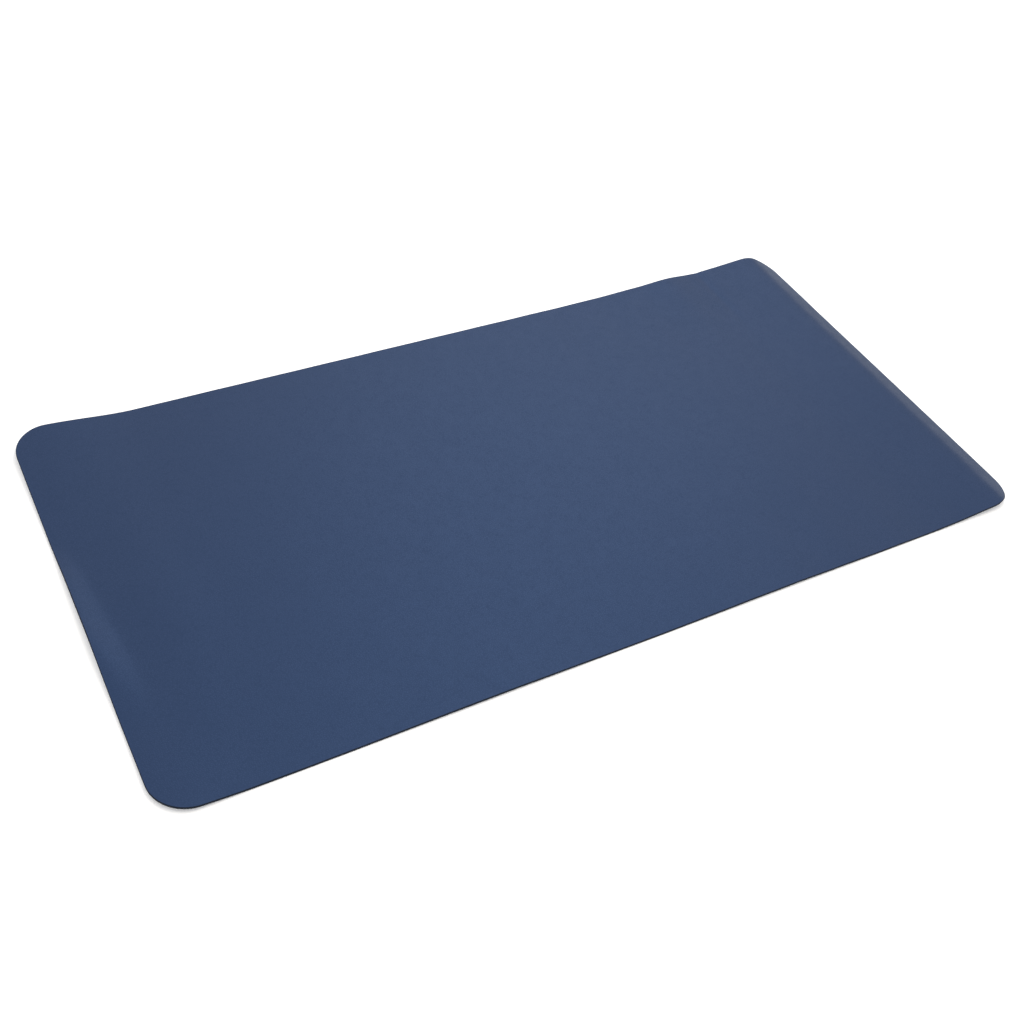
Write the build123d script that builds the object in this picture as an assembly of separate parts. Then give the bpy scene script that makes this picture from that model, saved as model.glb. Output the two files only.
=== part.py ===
from build123d import *
import os

# A desk mat lying flat: four bonded sheets and the film that joins them, with a
# painted bead round the cut edge.
# Millimetres, +Z up, +X along the long side, +Y along the short side.
# The origin is the middle of the underside.

# Driving dimensions
MAT_LENGTH = 800.0
MAT_WIDTH = 400.0
MAT_THICKNESS = 2.0
CORNER_RADIUS = 30.0

# The bead of edge paint. It stops just above the table, so the base carries the mat.
BEAD_WIDTH = 0.5
BEAD_LIFT = 0.1
BEAD_ROUNDING = 0.4

# Thickness of each bonded sheet, from the table up. The leather skin takes what is left.
SUEDE_BASE = 0.90
ADHESIVE_FILM = 0.10
BACKING_CLOTH = 0.40
FOAM_LAYER = 0.35
LEATHER_SKIN = MAT_THICKNESS - SUEDE_BASE - ADHESIVE_FILM - BACKING_CLOTH - FOAM_LAYER

STACK = [
    ("suede_base", SUEDE_BASE),
    ("adhesive_film", ADHESIVE_FILM),
    ("backing_cloth", BACKING_CLOTH),
    ("foam_layer", FOAM_LAYER),
    ("leather_skin", LEATHER_SKIN),
]


def outline(inset):
    """The mat's rounded rectangle, drawn in from the finished edge by inset."""
    return RectangleRounded(MAT_LENGTH - 2 * inset, MAT_WIDTH - 2 * inset, CORNER_RADIUS - inset)


def slab(inset, bottom, top):
    """The space inside that outline between two heights."""
    return Pos(0, 0, bottom) * extrude(outline(inset), top - bottom)


def bonded_sheets():
    """The sheets of the laminate, each lying on the one below it."""
    sheets = {}
    bottom = 0.0
    for name, thickness in STACK:
        sheets[name] = slab(BEAD_WIDTH, bottom, bottom + thickness)
        bottom += thickness
    return sheets


def edge_bead():
    """The paint bead: a ring round the cut edges of all the sheets, rounded outside."""
    outer = slab(0, BEAD_LIFT, MAT_THICKNESS)
    rims = outer.edges().group_by(Axis.Z)
    outer = fillet(rims[0] + rims[-1], BEAD_ROUNDING)
    return outer - slab(BEAD_WIDTH, BEAD_LIFT, MAT_THICKNESS)


parts = bonded_sheets()
parts["edge_bead"] = edge_bead()

os.makedirs("parts", exist_ok=True)
for name, part in parts.items():
    part.label = name
    export_step(part, f"parts/{name}.step")
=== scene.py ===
import math

import bpy
import numpy as np
from mathutils import Matrix, Vector


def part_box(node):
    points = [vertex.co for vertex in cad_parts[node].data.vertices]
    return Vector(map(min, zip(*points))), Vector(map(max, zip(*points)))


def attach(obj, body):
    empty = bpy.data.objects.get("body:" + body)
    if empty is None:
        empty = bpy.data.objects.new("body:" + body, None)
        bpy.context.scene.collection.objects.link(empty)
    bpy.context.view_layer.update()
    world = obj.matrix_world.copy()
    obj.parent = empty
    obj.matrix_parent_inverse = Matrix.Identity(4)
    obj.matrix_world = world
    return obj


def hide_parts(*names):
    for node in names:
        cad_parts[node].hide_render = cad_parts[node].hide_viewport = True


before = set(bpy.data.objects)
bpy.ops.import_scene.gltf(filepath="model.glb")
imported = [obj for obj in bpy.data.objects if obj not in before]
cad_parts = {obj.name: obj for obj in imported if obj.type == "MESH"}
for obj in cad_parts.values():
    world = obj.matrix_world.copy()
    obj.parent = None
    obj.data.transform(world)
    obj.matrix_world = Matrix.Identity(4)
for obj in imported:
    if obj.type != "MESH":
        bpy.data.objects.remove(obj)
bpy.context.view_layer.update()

# The mat's sizes, in metres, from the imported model.
MM = 0.001
LOW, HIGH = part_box("edge_bead")
HALF_LENGTH = HIGH[0]
HALF_WIDTH = HIGH[1]
THICKNESS = HIGH[2]
BEAD_BOTTOM = LOW[2]
BEAD_WIDTH = HIGH[0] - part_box("leather_skin")[1][0]
CORNER_RADIUS = 30 * MM
SHEET_CORNER_RADIUS = CORNER_RADIUS - BEAD_WIDTH

# The cut sheets, from the desk up.
SHEETS = ["suede_base", "adhesive_film", "backing_cloth", "foam_layer", "leather_skin"]

# How finely the meshes are divided.
ARC_STEPS = 20
RINGS = 15
BEAD_STEPS = 13


# ---------------------------------------------------------------- the mat's shape
#
# left_end, right_end, far_edge, near_edge and roll_marks each give a share of the height off the
# desk, which lift adds up. In them, lengths are in millimetres, and across runs from 0 at the near
# edge to 1 at the far edge.

def clamp(t):
    return np.clip(t, 0.0, 1.0)


def ease(t):
    """From 0 to 1 with no slope at either end."""
    t = clamp(t)
    return t * t * (3 - 2 * t)


def mix(a, b, t):
    return a + (b - a) * t


def bump(d, width):
    """A rounded hill of height 1 at d = 0."""
    return np.exp(-((d / width) ** 2))


def sideways(across):
    """From 0 along the middle of the mat to 1 at the far and near edges."""
    return (2 * across - 1) ** 2


def fold(d, softness):
    """A flat stretch that turns into a slope of 1 at d = 0, over about softness."""
    return (d + np.sqrt(d * d + softness * softness)) / 2


def left_end(x, y, across):
    """The end that still curls up from being rolled. The corners lift. Between them the mat lies
    down after a low swell, and a slanting strip of the edge flips up."""
    start = mix(-325, -292, across)
    stop = mix(-402, -380, across)
    far_corner = 6.5 * clamp((y - 40) / 160) ** 1.6
    near_corner = 2.9 * clamp((-y - 60) / 140) ** 1.6
    curl = (0.6 + far_corner + near_corner) * ease((start - x) / (start - stop))
    swell = 1.0 * bump(x + 338, 26) * bump(y + 20, 110)
    strip_inside = -381 + 0.10 * (-20 - y)
    strip_outside = -400 + 0.20 * np.maximum(-30 - y, 0)
    flip = 0.32 * (fold(strip_inside - x, 4) - fold(strip_outside - x, 4))
    return curl + swell + flip * ease((y + 130) / 90) * ease((75 - y) / 50)


def right_end(x, y, across):
    """A stiff flap that rises from a fold across the mat, with a lip that turns down. The fold is
    crisper at the sides, and the lip is steeper at the corners."""
    rise = mix(0.0815, 0.0835, across) * fold(x - 312, mix(26, 10, sideways(across)))
    far_corner = 0.060 * ease((y - 120) / 75)
    near_corner = 0.020 * ease((-y - 140) / 55)
    return rise - (0.375 + far_corner + near_corner) * fold(x - 381.5, 3)


def far_edge(x, y):
    """The far edge stands off the desk before the fold, with a short crease along the fold."""
    peak = 272
    peak_width = np.where(x < peak, 30, 24)
    height = 2.0 * ease((x - 150) / 110) + 2.1 * bump(x - peak, peak_width)
    crease = 0.45 * bump(x - 311, 4.5) * ease((y - 85) / 90)
    return height * clamp((y - 85) / 115) ** 2 - crease


def near_edge(x, y):
    """Slow waves along the near edge."""
    wavelength = 275
    waves = 0.60 - 0.60 * np.cos(2 * math.pi * (x + 5) / wavelength)
    inside_ends = ease((x + 350) / 60) * ease((330 - x) / 60)
    return waves * inside_ends * clamp((-y - 120) / 80) ** 2


def roll_marks(x, y, across):
    """Faint waves across the mat, left by the turns of the roll. They are strongest at the sides
    of its right half, and stop short of the ends."""
    wavelength = 55
    crest = mix(204, 217, across)
    waves = 0.5 + 0.5 * np.cos(2 * math.pi * (x - crest) / wavelength)
    inside_ends = ease((x + 300) / 60) * ease((345 - x) / 30)
    strength = mix(0.35, 1.0, ease((x - 60) / 120)) * mix(0.25, 1.0, sideways(across))
    return 0.30 * waves * strength * inside_ends


def lift(x, y):
    """How far the underside stands off the desk, in metres, at a point of the flat mat."""
    x = np.asarray(x) / MM
    y = np.asarray(y) / MM
    across = clamp(y * MM / (2 * HALF_WIDTH) + 0.5)
    height = left_end(x, y, across) + right_end(x, y, across) + far_edge(x, y)
    height = height + near_edge(x, y) + roll_marks(x, y, across)
    return np.maximum(height, 0.0) * MM


def drawn_in(x):
    """How far a bent end comes in towards the middle, since the mat doesn't stretch. The slopes are
    averaged over five lines along the mat, because its ends move in as a whole."""
    step = 0.5 * MM
    along = np.arange(0, HALF_LENGTH + step, step)
    five_lines = np.linspace(-0.8, 0.8, 5)[:, None] * HALF_WIDTH
    shortfall = []
    for side in (-1, 1):
        slope = np.gradient(lift(side * along, five_lines), step, axis=1)
        shortfall.append(np.cumsum((slope * slope).mean(axis=0) / 2) * step)
    left = np.interp(-x, along, shortfall[0])
    right = np.interp(x, along, shortfall[1])
    return left - right


def bent(x, y, depth):
    """Where a point of the flat mat is, depth above its underside, once the mat is bent."""
    step = 0.2 * MM
    slope_x = (lift(x + step, y) - lift(x - step, y)) / (2 * step)
    slope_y = (lift(x, y + step) - lift(x, y - step)) / (2 * step)
    normal = np.stack([-slope_x, -slope_y, np.ones_like(slope_x)], axis=-1)
    normal /= np.linalg.norm(normal, axis=-1, keepdims=True)
    base = np.stack([x + drawn_in(x), y, lift(x, y)], axis=-1)
    return base + normal * np.asarray(depth)[..., None]


# ---------------------------------------------------------------- meshes

def lines(*stretches):
    """Grid lines over a run of stretches, each (start, end, spacing) in millimetres."""
    found = [stretches[0][0]]
    for start, end, spacing in stretches:
        count = round((end - start) / spacing)
        found += [start + (end - start) * (i + 1) / count for i in range(count)]
    return np.array(found) * MM


# The core is the mat less its corner radius all round. Its grid is finest at the curl and the fold.
CORE_X = HALF_LENGTH - CORNER_RADIUS
CORE_Y = HALF_WIDTH - CORNER_RADIUS
LINES_X = lines((-370, -280, 3), (-280, 130, 6.3), (130, 290, 4), (290, 370, 2))
LINES_Y = lines((-170, -80, 4.5), (-80, 80, 8), (80, 170, 4.5))


def outline_stations():
    """The core's outline, counter-clockwise from the near left: the place on the core that
    each station stands out from, and the direction that it stands out in."""
    places = []
    outward = []

    def add(x, y, dx, dy):
        places.append((x, y))
        outward.append((dx, dy))

    def corner(x, y, first_angle):
        for i in range(ARC_STEPS + 1):
            angle = first_angle + math.pi / 2 * i / ARC_STEPS
            add(x, y, math.cos(angle), math.sin(angle))

    corner(-CORE_X, -CORE_Y, -math.pi)
    for x in LINES_X[1:-1]:
        add(x, -CORE_Y, 0, -1)
    corner(CORE_X, -CORE_Y, -math.pi / 2)
    for y in LINES_Y[1:-1]:
        add(CORE_X, y, 1, 0)
    corner(CORE_X, CORE_Y, 0)
    for x in LINES_X[-2:0:-1]:
        add(x, CORE_Y, 0, 1)
    corner(-CORE_X, CORE_Y, math.pi / 2)
    for y in LINES_Y[-2:0:-1]:
        add(-CORE_X, y, -1, 0)
    return np.array(places), np.array(outward)


def grid_faces(rows, columns, wrap=False):
    """Four-sided faces of a grid of points, row by row. Wrap joins the last row to the first."""
    row = np.arange(rows if wrap else rows - 1)[:, None]
    column = np.arange(columns - 1)[None, :]
    a = row * columns + column
    b = (row + 1) % rows * columns + column
    return np.stack([a, b, b + 1, a + 1], axis=-1).reshape(-1, 4)


def flat_plan():
    """A flat sheet's points and faces: a grid over its core and a collar of rings round it. The
    rings are closer together towards the edge."""
    core = np.stack(np.meshgrid(LINES_X, LINES_Y, indexing="ij"), axis=-1)
    places, outward = outline_stations()
    shares = 1 - (1 - np.linspace(0, 1, RINGS)) ** 1.35
    rings = shares * SHEET_CORNER_RADIUS
    collar = places[:, None, :] + outward[:, None, :] * rings[None, :, None]
    points = np.concatenate([core.reshape(-1, 2), collar.reshape(-1, 2)])
    faces = np.concatenate([
        grid_faces(len(LINES_X), len(LINES_Y)),
        grid_faces(len(places), len(rings), wrap=True) + core.shape[0] * core.shape[1],
    ])
    # The core and the collar share their common line, and each corner's first ring is a point.
    microns = np.round(points / (0.001 * MM))
    _, first, same = np.unique(microns, axis=0, return_index=True, return_inverse=True)
    return points[first], tidy_faces(points[first], same.reshape(-1)[faces])


def tidy_faces(points, faces):
    """Drops repeated corners and turns every face counter-clockwise."""
    tidy = []
    for face in faces.tolist():
        corners = [c for i, c in enumerate(face) if c != face[i - 1]]
        x, y = points[corners].T
        area = np.sum(x * np.roll(y, -1) - y * np.roll(x, -1))
        tidy.append(corners if area > 0 else corners[::-1])
    return tidy


def rim_of(faces):
    """The directed edges that only one face uses."""
    edges = {(face[i - 1], c) for face in faces for i, c in enumerate(face)}
    return [edge for edge in edges if edge[::-1] not in edges]


def new_object(name, points, faces, material):
    """A smooth-shaded mesh object in the scene."""
    mesh = bpy.data.meshes.new(name)
    mesh.from_pydata(points.tolist(), [], faces)
    mesh.materials.append(material)
    mesh.update()
    for face in mesh.polygons:
        face.use_smooth = True
    thing = bpy.data.objects.new(name, mesh)
    bpy.context.scene.collection.objects.link(thing)
    return thing


def bent_sheet(name, bottom, top, material):
    """One layer of the laminate: its two faces and the cut edge between them."""
    points, faces = flat_plan()
    x, y = points.T
    count = len(points)
    low = bent(x, y, np.full(count, bottom))
    high = bent(x, y, np.full(count, top))
    skin = [[c + count for c in face] for face in faces]
    under = [face[::-1] for face in faces]
    cut = [[a, b, b + count, a + count] for a, b in sorted(rim_of(faces))]
    sheet = new_object(name, np.concatenate([low, high]), skin + under + cut, material)
    mark_sharp(sheet, len(skin) + len(under))
    return sheet


def mark_sharp(sheet, first_cut_face):
    """Keeps the cut edge crisp: every edge of its faces is sharp."""
    mesh = sheet.data
    cut_edges = set()
    for face in mesh.polygons[first_cut_face:]:
        cut_edges.update(face.edge_keys)
    for edge in mesh.edges:
        if edge.key in cut_edges:
            edge.use_edge_sharp = True


def edge_bead(name, material):
    """The bead of edge paint: a D-shaped section carried round the outline."""
    places, outward = outline_stations()
    count = len(places)
    middle = (BEAD_BOTTOM + THICKNESS) / 2
    half_height = (THICKNESS - BEAD_BOTTOM) / 2
    turns = np.linspace(-math.pi / 2, math.pi / 2, BEAD_STEPS)
    squareness = 0.45
    reach = BEAD_WIDTH * np.cos(turns).clip(0) ** squareness
    depth = middle + half_height * np.sign(turns) * np.abs(np.sin(turns)) ** squareness
    # Laid on by hand, so the bead swells and thins a little: 17 slow waves and 41 quick ones.
    around = np.arange(count) * 2 * math.pi / count
    fullness = 0.90 + 0.06 * np.sin(17 * around) + 0.04 * np.sin(41 * around + 1)
    radius = SHEET_CORNER_RADIUS + reach[None, :] * fullness[:, None]
    plan = places[:, None, :] + outward[:, None, :] * radius[..., None]
    x = plan[..., 0].ravel()
    y = plan[..., 1].ravel()
    points = bent(x, y, np.tile(depth, count))
    faces = grid_faces(count, BEAD_STEPS, wrap=True).tolist()
    # The flat back, against the sheets' cut edges.
    last = BEAD_STEPS - 1
    for i in range(count):
        a = i * BEAD_STEPS
        b = (i + 1) % count * BEAD_STEPS
        faces.append([a + last, b + last, b, a])
    return new_object(name, points, faces, material)


# ---------------------------------------------------------------- materials

class Nodes:
    """A material's node tree, with one short call for each node and its inputs."""

    def __init__(self, name):
        self.material = bpy.data.materials.new(name)
        self.material.use_nodes = True
        self.tree = self.material.node_tree
        self.surface = self.tree.nodes["Principled BSDF"]
        self.place = self.add("TexCoord").outputs["Object"]

    def add(self, kind, inputs=None, **settings):
        node = self.tree.nodes.new("ShaderNode" + kind)
        for key, value in settings.items():
            setattr(node, key, value)
        for key, value in (inputs or {}).items():
            self.put(node.inputs[key], value)
        return node

    def put(self, socket, value):
        if isinstance(value, bpy.types.NodeSocket):
            self.tree.links.new(value, socket)
        else:
            socket.default_value = value

    def noise(self, size_mm, detail=3.0, roughness=0.5):
        inputs = {"Vector": self.place, "Scale": 1 / (size_mm * MM), "Detail": detail}
        inputs["Roughness"] = roughness
        return self.add("TexNoise", inputs).outputs["Fac"]

    def cells(self, size_mm, place=None):
        """Cells packed side by side: 0 on the lines between them, and more towards their middles."""
        inputs = {"Vector": place or self.place, "Scale": 1 / (size_mm * MM)}
        return self.add("TexVoronoi", inputs, feature="DISTANCE_TO_EDGE").outputs["Distance"]

    def maths(self, operation, a, b):
        return self.add("Math", {0: a, 1: b}, operation=operation).outputs[0]

    def vectors(self, operation, a, b):
        """Works on two vectors or, to SCALE, on a vector and a number."""
        second = "Scale" if operation == "SCALE" else 1
        return self.add("VectorMath", {0: a, second: b}, operation=operation).outputs[0]

    def rescale(self, value, from_low, from_high, to_low, to_high, smooth=False):
        settings = {"interpolation_type": "SMOOTHSTEP"} if smooth else {}
        inputs = {"Value": value, "From Min": from_low, "From Max": from_high}
        inputs.update({"To Min": to_low, "To Max": to_high})
        return self.add("MapRange", inputs, **settings).outputs["Result"]

    def blend(self, share, a, b):
        """Mixes two colours, whose sockets come after the node's sockets for numbers and vectors."""
        node = self.add("Mix", data_type="RGBA")
        self.put(node.inputs["Factor"], share)
        self.put(node.inputs[6], a)
        self.put(node.inputs[7], b)
        return node.outputs[2]

    def relief(self, height, depth_mm, under=None):
        """A bumped normal, over the normal of a coarser or finer relief if there is one."""
        inputs = {"Height": height, "Distance": depth_mm * MM, "Strength": 1.0}
        if under is not None:
            inputs["Normal"] = under
        return self.add("Bump", inputs).outputs["Normal"]

    def finish(self, **inputs):
        """Sets the surface's inputs, named with _ for a space, and gives the material."""
        for key, value in inputs.items():
            self.put(self.surface.inputs[key.replace("_", " ")], value)
        return self.material


def rgb(red, green, blue):
    return (red, green, blue, 1.0)


def navy_leather():
    """Embossed polyurethane: small soft pebbles, finer pores, and faint mottling."""
    n = Nodes("navy_leather")
    # The pebbles are pushed about by a slower noise, so that their outlines wander.
    wander = n.add("TexNoise", {"Vector": n.place, "Scale": 220.0, "Detail": 1.0}).outputs["Color"]
    centred = n.vectors("SUBTRACT", wander, (0.5, 0.5, 0.5))
    place = n.vectors("ADD", n.place, n.vectors("SCALE", centred, 1.6 * MM))
    pebbles = n.rescale(n.cells(1.5, place), 0.0, 0.28, 0.0, 1.0, smooth=True)
    pores = n.noise(0.35, 2.0)
    mottle = n.rescale(n.noise(45), 0.35, 0.65, 0, 1)
    tops = n.blend(mottle, rgb(0.0199, 0.0333, 0.0760), rgb(0.0215, 0.0351, 0.0792))
    # The pebbles' valleys get a darker navy than their tops: painted shade in the grain's hollows.
    colour = n.blend(pebbles, rgb(0.0158, 0.0274, 0.0641), tops)
    dull = n.rescale(n.noise(9), 0.3, 0.7, 0.38, 0.44)
    dull = n.maths("ADD", dull, n.rescale(pebbles, 0, 1, 0.10, 0.0))
    return n.finish(
        Base_Color=colour,
        Roughness=dull,
        Specular_IOR_Level=0.425,
        Specular_Tint=rgb(0.275, 0.515, 1.00),
        Normal=n.relief(pebbles, 0.020, n.relief(pores, 0.006)))


def edge_paint():
    """Near-black acrylic, satin, with slow brush ripples and a few fine pits."""
    n = Nodes("edge_paint")
    ripple = n.noise(4, 2.0)
    pits = n.noise(0.4, 2.0)
    colour = n.blend(ripple, rgb(0.0018, 0.0050, 0.0125), rgb(0.0042, 0.0095, 0.0210))
    dull = n.rescale(pits, 0.3, 0.7, 0.45, 0.60)
    normal = n.relief(ripple, 0.08, n.relief(pits, 0.02))
    return n.finish(Base_Color=colour, Roughness=dull, Specular_IOR_Level=0.12, Normal=normal)


def suede():
    """Microfibre with a short nap that lies in patches."""
    n = Nodes("suede")
    nap = n.noise(0.25, roughness=0.7)
    patches = n.noise(22)
    fine = n.rescale(nap, 0.3, 0.7, 0.55, 1)
    coarse = n.rescale(patches, 0.35, 0.65, 0.7, 1)
    share = n.maths("MULTIPLY", fine, coarse)
    return n.finish(
        Base_Color=n.blend(share, rgb(0.010, 0.013, 0.021), rgb(0.030, 0.037, 0.058)),
        Roughness=0.95,
        Sheen_Weight=0.35,
        Sheen_Roughness=0.6,
        Normal=n.relief(nap, 0.12, n.relief(patches, 0.15)))


def knit():
    """Polyester jersey: rows of small loops."""
    n = Nodes("polyester_knit")
    waves = {"Vector": n.place, "Scale": 1 / (2.4 * MM), "Distortion": 0.4}
    rows = n.add("TexWave", waves, bands_direction="X").outputs["Fac"]
    loops = n.add("TexWave", waves, bands_direction="Y").outputs["Fac"]
    yarn = n.maths("MULTIPLY", rows, loops)
    colour = n.blend(yarn, rgb(0.07, 0.075, 0.09), rgb(0.16, 0.17, 0.20))
    return n.finish(Base_Color=colour, Roughness=0.9, Normal=n.relief(yarn, 0.15))


def foam():
    """Expanded polyurethane: fine closed cells."""
    n = Nodes("pu_foam")
    cell = n.rescale(n.cells(0.3), 0.0, 0.2, 0.0, 1.0)
    colour = n.blend(cell, rgb(0.06, 0.075, 0.11), rgb(0.10, 0.12, 0.17))
    return n.finish(Base_Color=colour, Roughness=0.85, Normal=n.relief(cell, 0.05))


def adhesive():
    """Hot-melt film, milky and uneven where it has flowed."""
    n = Nodes("hot_melt_film")
    flow = n.noise(6)
    colour = n.blend(flow, rgb(0.50, 0.48, 0.40), rgb(0.62, 0.60, 0.52))
    dull = n.rescale(flow, 0.3, 0.7, 0.45, 0.65)
    return n.finish(Base_Color=colour, Roughness=dull, Normal=n.relief(flow, 0.03))


def pale_floor():
    """White, and faintly lit from below like a light table, so that shadows stay light."""
    return Nodes("pale_floor").finish(
        Base_Color=rgb(0.97, 0.97, 0.97),
        Roughness=0.8,
        Emission_Color=rgb(1, 1, 1),
        Emission_Strength=0.15)


# ---------------------------------------------------------------- building

def build_mat():
    """Makes the five sheets and the bead, and gives the sheets by their CAD names."""
    finishes = {
        "suede_base": ("suede", suede()),
        "adhesive_film": ("hot_melt_film", adhesive()),
        "backing_cloth": ("polyester_knit", knit()),
        "foam_layer": ("pu_foam", foam()),
        "leather_skin": ("navy_leather", navy_leather()),
    }
    made = {}
    for node in SHEETS:
        low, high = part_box(node)
        slot, material = finishes[node]
        piece = bent_sheet("bent_" + node, low[2], high[2], material)
        made[node] = piece
        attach(piece, "root")
        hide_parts(node)
    bead = edge_bead("bent_edge_bead", edge_paint())
    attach(bead, "root")
    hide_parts("edge_bead")
    return made


def floor():
    """A wide square, just under the underside so that the two don't share a plane."""
    half = 6.0
    z = -0.02 * MM
    points = np.array([(-half, -half, z), (half, -half, z), (half, half, z), (-half, half, z)])
    new_object("floor", points, [[0, 1, 2, 3]], pale_floor())


def soft_light(name, place, aim, size, power, colour):
    """A square panel of light at a place, turned towards its aim."""
    lamp = bpy.data.lights.new(name, "AREA")
    lamp.color = colour
    lamp.shape = "SQUARE"
    lamp.size = size
    lamp.energy = power
    thing = bpy.data.objects.new(name, lamp)
    thing.location = place
    thing.rotation_euler = (Vector(aim) - Vector(place)).to_track_quat("-Z", "Y").to_euler()
    bpy.context.scene.collection.objects.link(thing)


def studio():
    """An even white sky and two soft lights."""
    world = bpy.data.worlds.new("studio")
    bpy.context.scene.world = world
    world.use_nodes = True
    sky = world.node_tree.nodes["Background"]
    sky.inputs["Color"].default_value = (1, 1, 1, 1)
    sky.inputs["Strength"].default_value = 1.0
    soft_light(
        "cool_key", (0.55, 0.75, 1.00), aim=(0.1, 0.05, 0),
        size=0.8, power=3.8, colour=(0.74, 0.86, 1.0))
    soft_light(
        "warm_overhead", (0, -0.15, 0.80), aim=(0, -0.15, 0),
        size=0.5, power=2.4, colour=(1.0, 0.90, 0.80))
    bpy.context.scene.view_settings.view_transform = "Standard"


def camera():
    """Looks down on the near left corner, as far off and as tilted as a hand-held view."""
    place = (-0.4819, -0.6543, 0.7685)
    heading = math.radians(35.40)
    down = math.radians(45.33)
    roll = math.radians(9.55)
    lens = bpy.data.cameras.new("camera")
    lens.sensor_width = 36
    lens.lens = 44.61
    thing = bpy.data.objects.new("camera", lens)
    turn = Matrix.Rotation(-heading, 4, "Z") @ Matrix.Rotation(math.pi / 2 - down, 4, "X")
    turn = turn @ Matrix.Rotation(roll, 4, "Z")
    thing.matrix_world = Matrix.Translation(place) @ turn
    bpy.context.scene.collection.objects.link(thing)
    bpy.context.scene.camera = thing


camera()
build_mat()
floor()
studio()
